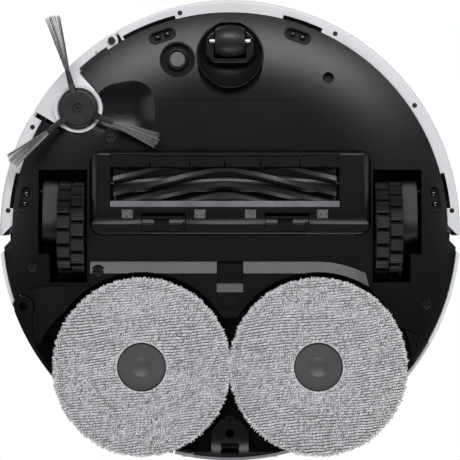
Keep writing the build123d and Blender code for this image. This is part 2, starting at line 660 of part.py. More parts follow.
with BuildPart() as caster_wheel:
    with BuildSketch(Plane.XY):
        with BuildLine():
            Line((-11.3, 1.55), (11.3, 1.55))
            Line((11.3, 1.55), (11.3, 9.2))
            ThreePointArc((11.3, 9.2), (0, CASTER_WHEEL_R), (-11.3, 9.2))
            Line((-11.3, 9.2), (-11.3, 1.55))
        make_face()
    revolve(axis=Axis.X)
caster_wheel.part = caster_wheel.part.moved(Location((0, CASTER_AXLE_Y, CASTER_WHEEL_R)))
save(caster_wheel, "caster_wheel")

# ---- side brush arm -------------------------------------------------------------------------------
with BuildPart() as side_brush_arm:
    with BuildSketch(Plane.XY.offset(STRIP_Z)):
        with Locations(SIDE_ARM_PIVOT):
            Circle(4.9)
        with Locations(HUB):
            Circle(LOBE_R)
        make_hull()
        add(ring_sector(166.0, BODY_R - 0.2, 32.2, 46.0))
        add(ring_sector(140.0, BODY_R - 0.2, 43.4, 58.6))
    extrude(amount=ARM_TOP - STRIP_Z)
    with BuildSketch():
        with Locations(HUB):
            Circle(LOBE_R)
        add(ring_sector(147.0, BODY_R - 0.2, 44.0, 58.6))
        with Locations(polar(158.0, 51.6)):
            Circle(16.0)
    extrude(amount=ARM_TOP)
    add(base_solid(0.0, 60.0), mode=Mode.INTERSECT)
    # raised ring round the brush, the seat of its hub and the cavity of its motor
    drum(*HUB, (0.0, 17.2), LOBE_R + 0.4, Mode.SUBTRACT)
    drum(*HUB, (17.2, 22.0), LOBE_R)
    drum(*HUB, (10.0, 19.6), 15.9, Mode.SUBTRACT)
    drum(*HUB, (21.6, 40.0), 12.2, Mode.SUBTRACT)
    drum(*HUB, (19.0, 22.0), 3.0 + RUN, Mode.SUBTRACT)
    drum(*SIDE_ARM_PIVOT, (20.0, 40.0), 2.0 + RUN, Mode.SUBTRACT)
    drum(*polar(169.0, 37.0), (20.0, 28.0), 0.9, Mode.SUBTRACT)
save(side_brush_arm, "side_brush_arm")

with BuildPart() as side_arm_pin:
    drum(*SIDE_ARM_PIVOT, (25.0, 37.4), 2.0)
    drum(*SIDE_ARM_PIVOT, (23.8, 25.3), 2.8)
    pin_x, pin_y = SIDE_ARM_PIVOT
    box((pin_x - 1.8, pin_x + 1.8), (pin_y - 0.4, pin_y + 0.4), (23.0, 24.5), Mode.SUBTRACT)
save(side_arm_pin, "side_arm_pin")

with BuildPart() as side_brush_motor:
    drum(*HUB, (21.8, 33.2), 12.0)
save(side_brush_motor, "side_brush_motor")

BRISTLE_TURNS = (255.0, 140.8, 22.6)  # from +X towards +Y
# distance from the axis, height, width and depth of a sleeve at its three sections
SLEEVE_SECTIONS = ((12.0, 14.7, 5.4, 3.4), (18.4, 9.9, 4.6, 2.8), (29.0, 9.7, 3.6, 2.6))
# each sleeve dips below the base plate before it leaves the hub's own opening
with BuildPart() as sleeve:
    for distance, height, width, depth in SLEEVE_SECTIONS:
        with BuildSketch(Plane.YZ.offset(distance)):
            with Locations((0, height)):
                RectangleRounded(width, depth, 1.0)
    loft(ruled=True)

with BuildPart() as side_brush_hub:
    drum(*HUB, (13.2, 19.2), 15.0)
    fillet(side_brush_hub.edges().group_by(Axis.Z)[0], 2.6)
    drum(*HUB, (19.0, 21.4), 3.0)
    drum(*HUB, (12.0, 16.0), 3.8, Mode.SUBTRACT)
    for turn in BRISTLE_TURNS:
        add(sleeve.part.moved(Location((HUB[0], HUB[1], 0), (0, 0, turn))))
save(side_brush_hub, "side_brush_hub")

with BuildPart() as side_brush_screw:
    drum(*HUB, (14.2, 16.0), 3.6)
    drum(*HUB, (13.0, 15.2), 1.2, Mode.SUBTRACT)
save(side_brush_screw, "side_brush_screw")

with BuildPart() as side_brush_bristles:
    for turn, length in zip(BRISTLE_TURNS, (71.5, 64.6, 66.4)):
        out = Plane(origin=(HUB[0], HUB[1], 0), x_dir=Vector(1, 0, 0).rotate(Axis.Z, turn + 90),
                    z_dir=Vector(1, 0, 0).rotate(Axis.Z, turn))
        for lean in (-5.0, -2.0, 1.0, 4.0):
            with BuildSketch(out.offset(29.3)) as root:
                with Locations((lean * 0.22, 9.7)):
                    Circle(0.34)
            with BuildSketch(out.offset(length)) as tip:
                with Locations((lean * 0.9, 2.6)):
                    Circle(0.5)
            loft(sections=[root.sketch, tip.sketch])
save(side_brush_bristles, "side_brush_bristles")

# ---- main brush -----------------------------------------------------------------------------------
HOUSING_X = (-96.0, 88.0)
with BuildPart() as brush_housing:
    box(HOUSING_X, (-56.8, -12.4), (14.6, 38.0))
    fillet(brush_housing.edges().filter_by(Axis.X).group_by(Axis.Z)[-1], 10.0)
    rod((-89.6, 81.8), BRUSH_Y, BRUSH_Z, BRUSH_R + 1.6, Mode.SUBTRACT)
    box((-89.6, 81.8), (BRUSH_Y - BRUSH_R - 1.6, BRUSH_Y + BRUSH_R + 1.6), (5.0, BRUSH_Z), Mode.SUBTRACT)
    rod((-94.0, 86.0), BRUSH_Y, BRUSH_Z, 3.0 + RUN, Mode.SUBTRACT)
    # suction duct to the dust bin
    box((-20.0, 20.0), (-56.8, -50.0), (34.0, 46.0))
    box((-24.0, 24.0), (-76.0, -50.0), (40.0, 44.6))
    box((-17.0, 17.0), (-73.0, -30.0), (30.0, 42.6), Mode.SUBTRACT)
save(brush_housing, "brush_housing")

with BuildPart() as main_brush_core:
    rod(BRUSH_X, BRUSH_Y, BRUSH_Z, 10.0)
    rod((BRUSH_X[0] - 5.6, BRUSH_X[1] + 5.4), BRUSH_Y, BRUSH_Z, 3.0)
save(main_brush_core, "main_brush_core")


def fin_section(x, degrees):
    """Cross-section of one brush fin at a place along the roller."""
    turn = math.radians(degrees)
    out = (math.cos(turn), math.sin(turn))
    corners = []
    for radius, half in ((10.4, 2.5), (BRUSH_R, 1.7), (BRUSH_R, -1.7), (10.4, -2.5)):
        corners.append(
            (BRUSH_Y + radius * out[0] - half * out[1], BRUSH_Z + radius * out[1] + half * out[0])
        )
    with BuildSketch(Plane.YZ.offset(x), mode=Mode.PRIVATE) as section:
        Polygon(*corners, align=None)
    return section.sketch


FINS = 8
FIN_TWIST = 84.0  # degrees from the middle of the roller to either end
FIN_BEND = 0.12  # share of the half length over which the arrow's point is rounded
fin_middle = (BRUSH_X[0] + BRUSH_X[1]) / 2
fin_half = (BRUSH_X[1] - BRUSH_X[0]) / 2 - 0.4
with BuildPart() as main_brush_fins:
    for fin in range(FINS):
        stations = []
        for step in (-1.0, -0.75, -0.5, -0.3, -0.15, 0.0, 0.15, 0.3, 0.5, 0.75, 1.0):
            sweep_share = math.hypot(step, FIN_BEND) - FIN_BEND
            turned = 360 / FINS * fin + FIN_TWIST * sweep_share
            stations.append(fin_section(fin_middle + step * fin_half, turned))
        loft(sections=stations)
save(main_brush_fins, "main_brush_fins")

with BuildPart() as main_brush_motor:
    rod((58.0, 94.0), -1.0, 29.0, 10.6)
    box((58.0, 94.0), (-10.0, 8.0), (14.6, 24.0))
    rod((54.0, 58.2), -1.0, 29.0, 3.0)
save(main_brush_motor, "main_brush_motor")

# ---- brush guard ----------------------------------------------------------------------------------
guard_x = (GUARD_X[0] + GUARD_X[1]) / 2
guard_y = (GUARD_Y[0] + GUARD_Y[1]) / 2
LEDGE_Z = 9.8  # the back of the guard steps up to a ledge
with BuildPart() as brush_guard:
    # from the side: flat, then rolling up at the back to the ledge
    with BuildSketch(Plane.YZ.offset(GUARD_X[0])):
        with BuildLine():
            Polyline((GUARD_Y[0], GUARD_Z[1]), (GUARD_Y[0], GUARD_Z[0] + 2.6),
                     (GUARD_Y[0] + 1.6, GUARD_Z[0] + 0.6), (GUARD_Y[0] + 3.0, GUARD_Z[0]),
                     (-14.4, GUARD_Z[0]))
            ThreePointArc((-14.4, GUARD_Z[0]), (-8.4, 7.2), (-4.4, LEDGE_Z))
            Polyline((-4.4, LEDGE_Z), (GUARD_Y[1] - 1.0, LEDGE_Z), (GUARD_Y[1], LEDGE_Z + 1.0),
                     (GUARD_Y[1], GUARD_Z[1]), (GUARD_Y[0], GUARD_Z[1]))
        make_face()
    extrude(amount=GUARD_X[1] - GUARD_X[0])
    # from the front: both ends slope up towards the wheels
    with BuildSketch(Plane.XZ.offset(-GUARD_Y[1] - 1)):
        with BuildLine():
            Polyline((GUARD_X[0] + 8.0, GUARD_Z[0] - 1), (GUARD_X[0] + 8.0, GUARD_Z[0]))
            ThreePointArc((GUARD_X[0] + 8.0, GUARD_Z[0]), (GUARD_X[0] + 2.6, 8.0), (GUARD_X[0], 12.8))
            Polyline((GUARD_X[0], 12.8), (GUARD_X[0], GUARD_Z[1]), (GUARD_X[1], GUARD_Z[1]),
                     (GUARD_X[1], 12.8))
            ThreePointArc((GUARD_X[1], 12.8), (GUARD_X[1] - 2.6, 8.0), (GUARD_X[1] - 8.0, GUARD_Z[0]))
            Polyline((GUARD_X[1] - 8.0, GUARD_Z[0]), (GUARD_X[1] - 8.0, GUARD_Z[0] - 1),
                     (GUARD_X[0] + 8.0, GUARD_Z[0] - 1))
        make_face()
    extrude(amount=GUARD_Y[1] - GUARD_Y[0] + 2, mode=Mode.INTERSECT)
    with BuildSketch():
        with Locations((guard_x, guard_y)):
            RectangleRounded(GUARD_X[1] - GUARD_X[0], GUARD_Y[1] - GUARD_Y[0], 9.0)
    extrude(amount=30.0, mode=Mode.INTERSECT)
    # hollow back, then the mouth
    box((GUARD_X[0] + 6.2, GUARD_X[1] - 6.2), (GUARD_Y[0] + 8.6, -18.4), (8.4, 20.0), Mode.SUBTRACT)
    box((GUARD_X[0] + 9.0, GUARD_X[1] - 9.0), (-15.6, 1.0), (11.6, 20.0), Mode.SUBTRACT)
    box(MOUTH_X, MOUTH_Y, (0.0, 7.9), Mode.SUBTRACT)
    box(MOUTH_X, (MOUTH_Y[0] + 7.0, MOUTH_Y[1] - 1.4), (7.0, 20.0), Mode.SUBTRACT)
    # seam between each end and the middle
    for x in MOUTH_X:
        box((x - 0.25, x + 0.25), (MOUTH_Y[0] - 1.0, GUARD_Y[1] + 1), (0.0, GUARD_Z[0] + 0.6), Mode.SUBTRACT)
    # openings in which the latches slide
    for x in LATCH_X:
        box((x - 16.7, x + 16.7), (-13.0, 1.2), (4.0, 12.0), Mode.SUBTRACT)
    # seats of the felt pads
    for x in FELT_X:
        box((x - 4.3, x + 4.3), (-15.6, -8.6), (4.0, 7.6), Mode.SUBTRACT)
save(brush_guard, "brush_guard")

with BuildPart() as guard_comb:
    box((MOUTH_X[0] + 0.1, MOUTH_X[1] - 0.1), (MOUTH_Y[0] + 0.1, -47.4), (6.2, 7.7))
    for x in (-60.5, -30.5, -3.8, 23.1, 52.7):
        box((x - 0.55, x + 0.55), (-53.8, -46.0), (5.0, 9.0), Mode.SUBTRACT)
        drum(x, -55.0, (5.0, 9.0), 0.5, Mode.SUBTRACT)
save(guard_comb, "guard_comb")

with BuildPart() as guard_wiper:
    box((MOUTH_X[0] + 0.1, MOUTH_X[1] - 0.1), (-21.9, MOUTH_Y[1] - 0.1), (5.6, 7.7))
    fillet(guard_wiper.edges().filter_by(Axis.X).group_by(Axis.Z)[0], 0.9)
save(guard_wiper, "guard_wiper")

with BuildPart() as guard_felt_pads:
    for x in FELT_X:
        box((x - 4.1, x + 4.1), (-15.4, -8.8), (6.2, 7.5))
save(guard_felt_pads, "guard_felt_pads")

# each latch follows the guard's back, with two feet for a finger and a tongue under the base plate
for name, x in (("guard_latch_right", LATCH_X[0]), ("guard_latch_left", LATCH_X[1])):
    with BuildPart() as latch:
        with BuildSketch(Plane.YZ.offset(x - 16.3)):
            Polygon((-10.3, 6.9), (-7.6, 7.9), (-4.7, 9.8), (0.8, 9.9), (0.8, 11.6), (-10.3, 11.6),
                    align=None)
        extrude(amount=32.6)
        box((x - 7.0, x + 4.2), (-9.0, 2.0), (4.0, 10.4), Mode.SUBTRACT)
        box((x - 16.0, x - 7.4), (-4.4, 0.8), (9.0, 10.2))
        box((x + 4.6, x + 13.0), (-4.4, 0.8), (9.0, 10.2))
        box((x + 13.8, x + 16.3), (-5.0, -1.0), (8.4, 10.0))
        box((x - 9.8, x + 9.8), (-1.4, 0.8), (10.8, 16.2))
        box((x - 9.8, x + 9.8), (0.6, 5.2), (14.8, 16.2))
    save(latch, name)

# ---- drive wheels ---------------------------------------------------------------------------------
for side, word in ((-1, "right"), (1, "left")):
    with BuildPart() as wheel_arm:
        with BuildSketch(Plane.YZ.offset(min(side * ARM_X[0], side * ARM_X[1]))):
            with Locations(WHEEL_PIVOT):
                Circle(12.0)
            with Locations((-3.0, 35.0)):
                Circle(15.0)
            make_hull()
        extrude(amount=ARM_X[1] - ARM_X[0])
        rod(span(side, WHEEL_X[0] + 1.0, ARM_X[0] + 1.0), 0, WHEEL_R, 4.0)
        rod(span(side, ARM_X[0] - 3, ARM_X[1] + 3), *WHEEL_PIVOT, 2.5 + RUN, Mode.SUBTRACT)
    save(wheel_arm, f"{word}_wheel_arm")

    with BuildPart() as wheel_hub:
        rod(span(side, WHEEL_X[0], WHEEL_X[1]), 0, WHEEL_R, 29.8)
        rod(span(side, WHEEL_X[0] - 1, WHEEL_X[0] + 3), 0, WHEEL_R, 25.0, Mode.SUBTRACT)
        rod(span(side, WHEEL_X[0] - 1, WHEEL_X[1] + 1), 0, WHEEL_R, 4.0 + RUN, Mode.SUBTRACT)
        with Locations(Location((side * 112.0, 0, WHEEL_R), (0, 90, 0))):
            with PolarLocations(16.0, 5):
                Cylinder(5.0, 8.0, mode=Mode.SUBTRACT)
    save(wheel_hub, f"{word}_wheel_hub")

    with BuildPart() as tyre:
        near, far = span(side, WHEEL_X[0] + 0.1, WHEEL_X[1] - 0.1)
        with BuildSketch(Plane.YZ.offset(near)):
            with Locations((0, WHEEL_R)):
                Circle(34.6)
                Circle(29.85, mode=Mode.SUBTRACT)
        extrude(amount=far - near)
        for column, turn in ((0, 0.0), (1, 9.0)):
            start = near + column * ((far - near) / 2 + 0.5)
            with BuildSketch(Plane.YZ.offset(start)):
                with Locations((0, WHEEL_R)):
                    Circle(WHEEL_R)
                    Circle(34.4, mode=Mode.SUBTRACT)
                    with PolarLocations(36.4, 20, start_angle=turn):
                        Rectangle(4.4, 3.2, mode=Mode.SUBTRACT)
            extrude(amount=(far - near) / 2 - 0.5)
    save(tyre, f"{word}_tyre")

# ---- mops -----------------------------------------------------------------------------------------
with BuildPart() as mop_arm:
    # plate from the hinge to the drive housing
    with BuildSketch(Plane.XY.offset(36.0)):
        with Locations(MOP_PIVOT):
            Circle(KNUCKLE_R - 0.7)
        with Locations((-MOP_X, MOP_Y)):
            Circle(25.0)
        make_hull()
    extrude(amount=8.2)
    drum(-MOP_X, MOP_Y, (25.6, 37.0), 17.0)
    drum(*MOP_PIVOT, (10.0, 44.9), KNUCKLE_R - 0.4)
    # skirt that continues the body's side, and its low flange
    sector_wall(BODY_R - 3.0, BODY_R - 0.1, SKIRT[0] + 3.4, SKIRT[1], (22.2, 44.6))
    with BuildSketch(Plane.XY.offset(10.0)):
        add(skirt_flange())
    extrude(amount=15.0)
    add(deck_solid(0.0, 90.0), mode=Mode.INTERSECT)
    drum(*MOP_PIVOT, (5.0, 50.0), 3.3 + RUN, Mode.SUBTRACT)
    drum(-MOP_X, MOP_Y, (20.0, 50.0), 5.0 + RUN, Mode.SUBTRACT)
save(mop_arm, "mop_arm")

with BuildPart() as left_mop_gearbox:
    with BuildSketch(Plane.XY.offset(BAY_CEILING + SHELL_T + 0.1)):
        with Locations((MOP_X, MOP_Y)):
            Circle(24.0)
        with Locations((96.0, 84.0)):
            Circle(14.0)
        make_hull()
    extrude(amount=18.0)
    drum(96.0, 84.0, (40.0, 49.0), 12.0)
    drum(MOP_X, MOP_Y, (20.0, 60.0), 5.0 + RUN, Mode.SUBTRACT)
save(left_mop_gearbox, "left_mop_gearbox")

for side, word in ((-1, "right"), (1, "left")):
    with BuildPart() as mop_shaft:
        drum(side * MOP_X, MOP_Y, (6.3, 36.0), 5.0)
    save(mop_shaft, f"{word}_mop_shaft")

    with BuildPart() as mop_disc:
        drum(side * MOP_X, MOP_Y, DISC_Z, 62.0)
        drum(side * MOP_X, MOP_Y, (DISC_Z[1], 15.5), 10.0)
        drum(side * MOP_X, MOP_Y, (3.0, DISC_Z[0]), 17.9)
        fillet(mop_disc.edges().group_by(Axis.Z)[0], 0.9)
        # shallow round dimple in the middle of the cap
        with Locations((side * MOP_X, MOP_Y, -8.7)):
            Sphere(13.9, mode=Mode.SUBTRACT)
        drum(side * MOP_X, MOP_Y, (6.0, 20.0), 5.0 + RUN, Mode.SUBTRACT)
    save(mop_disc, f"{word}_mop_disc")

    with BuildPart() as mop_pad:
        drum(side * MOP_X, MOP_Y, (0.0, PAD_TOP), PAD_R)
        fillet(mop_pad.edges().group_by(Axis.Z)[0], 2.4)
        fillet(mop_pad.edges().group_by(Axis.Z)[-1], 2.4)
        drum(side * MOP_X, MOP_Y, (-1.0, 20.0), 18.3, Mode.SUBTRACT)
    save(mop_pad, f"{word}_mop_pad")

# ---- inside the body ------------------------------------------------------------------------------
with BuildPart() as battery_pack:
    box((-10.0, 78.0), (12.0, 50.0), (30.0, 69.0))
    fillet(battery_pack.edges().filter_by(Axis.Y), 4.0)
save(battery_pack, "battery_pack")

with BuildPart() as main_pcb:
    box((-50.0, 84.0), (6.0, 56.0), (71.0, 72.6))
    for x, y, wide, deep, high in (
        (-30, 20, 14, 14, 1.2), (0, 40, 10, 10, 1.0), (30, 22, 12, 12, 2.0), (60, 40, 16, 8, 4.0)
    ):
        box((x - wide / 2, x + wide / 2), (y - deep / 2, y + deep / 2), (72.5, 72.6 + high))
save(main_pcb, "main_pcb")

FAN = (98.0, -80.0)
FAN_Z = 21.4
with BuildPart() as fan_housing:
    drum(*FAN, (FAN_Z, FAN_Z + 40.5), 23.0)
    drum(*FAN, (FAN_Z + 2.5, FAN_Z + 45.0), 20.6, Mode.SUBTRACT)
    drum(*FAN, (FAN_Z + 2.0, FAN_Z + 16.0), 9.0)
    drum(*FAN, (FAN_Z + 12.0, FAN_Z + 20.0), 2.0 + RUN, Mode.SUBTRACT)
save(fan_housing, "fan_housing")

with BuildPart() as fan_impeller:
    drum(*FAN, (FAN_Z + 16.6, FAN_Z + 19.2), 19.6)
    drum(*FAN, (FAN_Z + 12.4, FAN_Z + 34.0), 2.0)
    drum(*FAN, (FAN_Z + 19.0, FAN_Z + 34.0), 6.0)
    with BuildSketch(Plane.XY.offset(FAN_Z + 19.0)):
        with Locations(FAN):
            with PolarLocations(12.4, 9):
                Rectangle(14.0, 1.2)
    extrude(amount=12.0)
save(fan_impeller, "fan_impeller")

with BuildPart() as dust_bin:
    box((-70.0, 68.0), (-137.0, -67.0), (46.4, 77.2))
    fillet(dust_bin.edges().filter_by(Axis.Z), 6.0)
    box((-67.6, 65.6), (-134.6, -69.4), (48.8, 74.8), Mode.SUBTRACT)
    box((-14.0, 14.0), (-71.0, -64.0), (50.0, 62.0), Mode.SUBTRACT)
    box((-14.0, 14.0), (-68.2, -66.0), (47.0, 50.0))
save(dust_bin, "dust_bin")

with BuildPart() as dust_filter:
    box((20.0, 64.0), (-132.0, -128.0), (50.0, 73.0))
    for pleat in range(10):
        x = 23.0 + 4.2 * pleat
        box((x - 0.9, x + 0.9), (-129.0, -127.0), (51.0, 72.0), Mode.SUBTRACT)
save(dust_filter, "dust_filter")

with BuildPart() as water_tank:
    with BuildSketch(Plane.XY.offset(50.6)):
        Circle(164.0)
        with Locations((0, 132.0)):
            RectangleRounded(230.0, 64.0, 8.0, mode=Mode.INTERSECT)
    extrude(amount=25.6)
    with BuildSketch(Plane.XY.offset(53.0)):
        Circle(161.6)
        with Locations((0, 132.0)):
            RectangleRounded(225.0, 59.0, 6.0, mode=Mode.INTERSECT)
    extrude(amount=20.8, mode=Mode.SUBTRACT)
save(water_tank, "water_tank")

# ---- lidar turret ---------------------------------------------------------------------------------
with BuildPart() as lidar_base:
    drum(0, LIDAR_Y, (82.6, 88.0), LIDAR_R)
    drum(0, LIDAR_Y, (84.0, 92.0), 31.0, Mode.SUBTRACT)
    drum(0, LIDAR_Y, (83.6, 90.0), 4.0)
    with BuildSketch(Plane.XY.offset(87.0)):
        with Locations((0, LIDAR_Y)):
            with PolarLocations(34.5, 4, start_angle=45.0):
                Rectangle(3.0, 7.0)
    extrude(amount=12.6)
save(lidar_base, "lidar_base")

with BuildPart() as lidar_rotor:
    drum(0, LIDAR_Y, (84.6, 97.6), 29.0)
    drum(0, LIDAR_Y, (80.0, 90.6), 4.0 + RUN, Mode.SUBTRACT)
    box((-9.0, 9.0), (LIDAR_Y - 30.0, LIDAR_Y - 24.0), (88.0, 95.0), Mode.SUBTRACT)
    box((-2.0, 2.0), (LIDAR_Y + 22.0, LIDAR_Y + 30.0), (88.0, 95.0), Mode.SUBTRACT)
save(lidar_rotor, "lidar_rotor")

with BuildPart() as lidar_cap:
    drum(0, LIDAR_Y, (99.6, TURRET_TOP), LIDAR_R)
    fillet(lidar_cap.edges().group_by(Axis.Z)[-1], 1.8)
save(lidar_cap, "lidar_cap")
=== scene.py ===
"""Robot vacuum and mop, seen from below: looks, soft parts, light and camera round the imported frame.

Everything is in metres in the row frame: -Y is the direction of travel, +Z is up, and the origin is on
the floor. The camera is under the floor and looks straight up, with the robot's front at the top.
"""
import json
import math
import random

import bpy
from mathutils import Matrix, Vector, noise


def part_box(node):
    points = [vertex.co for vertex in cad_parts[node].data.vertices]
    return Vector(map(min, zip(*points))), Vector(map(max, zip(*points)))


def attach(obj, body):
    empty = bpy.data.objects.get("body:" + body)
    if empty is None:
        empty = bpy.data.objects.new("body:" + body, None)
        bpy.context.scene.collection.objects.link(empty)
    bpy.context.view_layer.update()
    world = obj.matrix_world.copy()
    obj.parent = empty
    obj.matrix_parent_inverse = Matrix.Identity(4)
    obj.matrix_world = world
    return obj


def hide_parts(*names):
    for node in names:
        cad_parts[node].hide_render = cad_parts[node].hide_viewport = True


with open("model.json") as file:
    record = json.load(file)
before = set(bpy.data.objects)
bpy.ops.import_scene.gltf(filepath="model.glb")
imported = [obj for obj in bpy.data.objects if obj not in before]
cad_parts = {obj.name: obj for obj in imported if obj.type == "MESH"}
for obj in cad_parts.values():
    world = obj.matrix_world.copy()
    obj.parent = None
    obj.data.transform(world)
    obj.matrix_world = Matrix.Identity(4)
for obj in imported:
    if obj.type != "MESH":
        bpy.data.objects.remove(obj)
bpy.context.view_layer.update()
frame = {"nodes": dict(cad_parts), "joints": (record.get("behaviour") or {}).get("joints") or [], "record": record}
NODES = frame["nodes"]

MM = 0.001
BODY_R = 0.175
AXLE_Z = 0.0374  # height of the drive axle
RIBS_ROUND_TYRE = 160


# ---- materials -------------------------------------------------------------------------------------
class Look:
    """A procedural material while it is being wired: object coordinates feed noise, ramps and bump."""

    def __init__(self, name, base, roughness=0.5, metallic=0.0, **sockets):
        self.mat = bpy.data.materials.new(name)
        self.mat.use_nodes = True
        self.tree = self.mat.node_tree
        self.shader = self.tree.nodes["Principled BSDF"]
        self.base = base
        self.set("Base Color", (*base, 1.0))
        self.set("Roughness", roughness)
        self.set("Metallic", metallic)
        for socket, value in sockets.items():
            self.set(socket.replace("_", " "), value)
        self.height = None
        self.coords = self.add("ShaderNodeTexCoord").outputs["Object"]

    def add(self, kind, **settings):
        node = self.tree.nodes.new(kind)
        for key, value in settings.items():
            setattr(node, key, value)
        return node

    def link(self, source, target):
        self.tree.links.new(source, target)

    def set(self, socket, value):
        self.shader.inputs[socket].default_value = value

    def stretched(self, scale):
        """Object coordinates scaled along each axis."""
        node = self.add("ShaderNodeMapping")
        node.inputs["Scale"].default_value = scale
        self.link(self.coords, node.inputs["Vector"])
        return node.outputs["Vector"]

    def noise(self, scale, detail=3.0, rough=0.5, vector=None):
        node = self.add("ShaderNodeTexNoise")
        node.inputs["Scale"].default_value = scale
        node.inputs["Detail"].default_value = detail
        node.inputs["Roughness"].default_value = rough
        self.link(vector or self.coords, node.inputs["Vector"])
        return node.outputs["Fac"]

    def cells(self, scale):
        node = self.add("ShaderNodeTexVoronoi")
        node.inputs["Scale"].default_value = scale
        self.link(self.coords, node.inputs["Vector"])
        return node.outputs["Distance"]

    def wave(self, scale, distortion):
        node = self.add("ShaderNodeTexWave")
        node.inputs["Scale"].default_value = scale
        node.inputs["Distortion"].default_value = distortion
        self.link(self.coords, node.inputs["Vector"])
        return node.outputs["Fac"]

    def ramp(self, value, *stops):
        node = self.add("ShaderNodeValToRGB")
        elements = node.color_ramp.elements
        while len(elements) < len(stops):
            elements.new(0.5)
        for element, (place, colour) in zip(elements, stops):
            element.position = place
            element.color = (*colour, 1.0)
        self.link(value, node.inputs["Fac"])
        return node.outputs["Color"]

    def paint(self, colour):
        self.link(colour, self.shader.inputs["Base Color"])

    def vary(self, value, amount):
        """Base colour made a little darker and lighter by a pattern."""
        dark = [c * (1 - amount) for c in self.base]
        light = [min(1.0, c * (1 + amount)) for c in self.base]
        self.paint(self.ramp(value, (0.3, dark), (0.7, light)))

    def rough(self, value, low, high, from_low=0.3, from_high=0.7):
        """Roughness that goes from low to high as the pattern goes over the range given."""
        node = self.add("ShaderNodeMapRange")
        node.inputs["From Min"].default_value = from_low
        node.inputs["From Max"].default_value = from_high
        node.inputs["To Min"].default_value = low
        node.inputs["To Max"].default_value = high
        self.link(value, node.inputs["Value"])
        self.link(node.outputs["Result"], self.shader.inputs["Roughness"])

    def bump(self, height, depth, strength=1.0):
        """Adds one layer of bump; depth is in metres, and layers stack."""
        node = self.add("ShaderNodeBump")
        node.inputs["Strength"].default_value = strength
        node.inputs["Distance"].default_value = depth
        self.link(height, node.inputs["Height"])
        if self.height:
            self.link(self.height, node.inputs["Normal"])
        self.height = node.outputs["Normal"]
        self.link(self.height, self.shader.inputs["Normal"])


def moulded(name, base, roughness, grain=0.00002, blotch=0.12, **sockets):
    """Injection-moulded plastic: fine spark-eroded grain, faint flow marks and handling haze."""
    look = Look(name, base, roughness, **sockets)
    look.vary(look.noise(24, 4.0, 0.6), blotch)
    look.rough(look.noise(60, 5.0, 0.65), roughness - 0.015, roughness + 0.02)
    look.bump(look.noise(2600, 2.0), grain)
    look.bump(look.noise(9, 1.0), 0.0001, 0.3)
    return look.mat


def rubbery(name, base, roughness, grain=0.00004):
    """Soft rubber with a fine matt grain."""
    look = Look(name, base, roughness)
    look.vary(look.noise(45, 4.0, 0.6), 0.22)
    look.rough(look.noise(140, 3.0), roughness - 0.08, roughness + 0.1)
    look.bump(look.noise(1500, 3.0), grain)
    return look.mat


def metal(name, base, roughness, stretch):
    """Drawn or brushed metal: streaks that the stretch squeezes across one axis."""
    look = Look(name, base, roughness, metallic=1.0)
    streaks = look.noise(900, 2.0, vector=look.stretched(stretch))
    look.vary(streaks, 0.12)
    look.rough(streaks, roughness - 0.08, roughness + 0.1)
    look.bump(streaks, 0.00001)
    return look.mat


def make_tyre_look():
    """Moulded tyre rubber with fine ribs across the tread blocks, counted round the axle."""
    look = Look("tyre", (0.012, 0.012, 0.0125), 0.5)
    axes = look.add("ShaderNodeSeparateXYZ")
    look.link(look.coords, axes.inputs["Vector"])
    above = look.add("ShaderNodeMath", operation="SUBTRACT")
    look.link(axes.outputs["Z"], above.inputs[0])
    above.inputs[1].default_value = AXLE_Z
    turn = look.add("ShaderNodeMath", operation="ARCTAN2")
    look.link(above.outputs[0], turn.inputs[0])
    look.link(axes.outputs["Y"], turn.inputs[1])
    ribs = look.add("ShaderNodeMath", operation="MULTIPLY")
    look.link(turn.outputs[0], ribs.inputs[0])
    ribs.inputs[1].default_value = RIBS_ROUND_TYRE
    crest = look.add("ShaderNodeMath", operation="SINE")
    look.link(ribs.outputs[0], crest.inputs[0])
    look.vary(look.noise(60, 4.0, 0.6), 0.3)
    look.rough(crest.outputs[0], 0.62, 0.36, -1.0, 1.0)
    look.bump(crest.outputs[0], 0.0007)
    look.bump(look.noise(1800, 2.0), 0.00003)
    return look.mat


def make_lens_look():
    """Near-black glossy window over a sensor."""
    look = Look("lens", (0.012, 0.011, 0.016), 0.08, Coat_Weight=1.0, Coat_Roughness=0.04)
    look.vary(look.noise(300, 2.0), 0.3)
    look.bump(look.noise(120, 1.0), 0.00002)
    return look.mat


def make_grille_look():
    """Fine round mesh over a sensor."""
    look = Look("grey_mesh", (0.12, 0.12, 0.125), 0.45)
    holes = look.cells(1700)
    look.paint(look.ramp(holes, (0.2, (0.03, 0.03, 0.03)), (0.5, (0.17, 0.17, 0.175))))
    look.bump(holes, 0.0002)
    return look.mat


def make_felt_look():
    """Coarse hook pad: dark with pale flecks."""
    look = Look("grey_felt", (0.05, 0.05, 0.052), 0.8, Sheen_Weight=0.4)
    flecks = look.noise(1400, 2.0, 0.9)
    look.paint(look.ramp(flecks, (0.42, (0.02, 0.02, 0.022)), (0.6, (0.22, 0.22, 0.225))))
    look.bump(flecks, 0.0004)
    return look.mat


def make_board_look():
    """Circuit board: green lacquer with the faint lines of its tracks."""
    look = Look("green_board", (0.015, 0.11, 0.05), 0.35)
    tracks = look.wave(160, 6.0)
    look.vary(tracks, 0.35)
    look.bump(tracks, 0.00005)
    return look.mat


def make_paper_look():
    """Pleated filter paper with its fibres."""
    look = Look("filter_paper", (0.72, 0.71, 0.66), 0.9)
    fibres = look.noise(900, 6.0, 0.75)
    look.vary(fibres, 0.12)
    look.bump(fibres, 0.0001)
    return look.mat


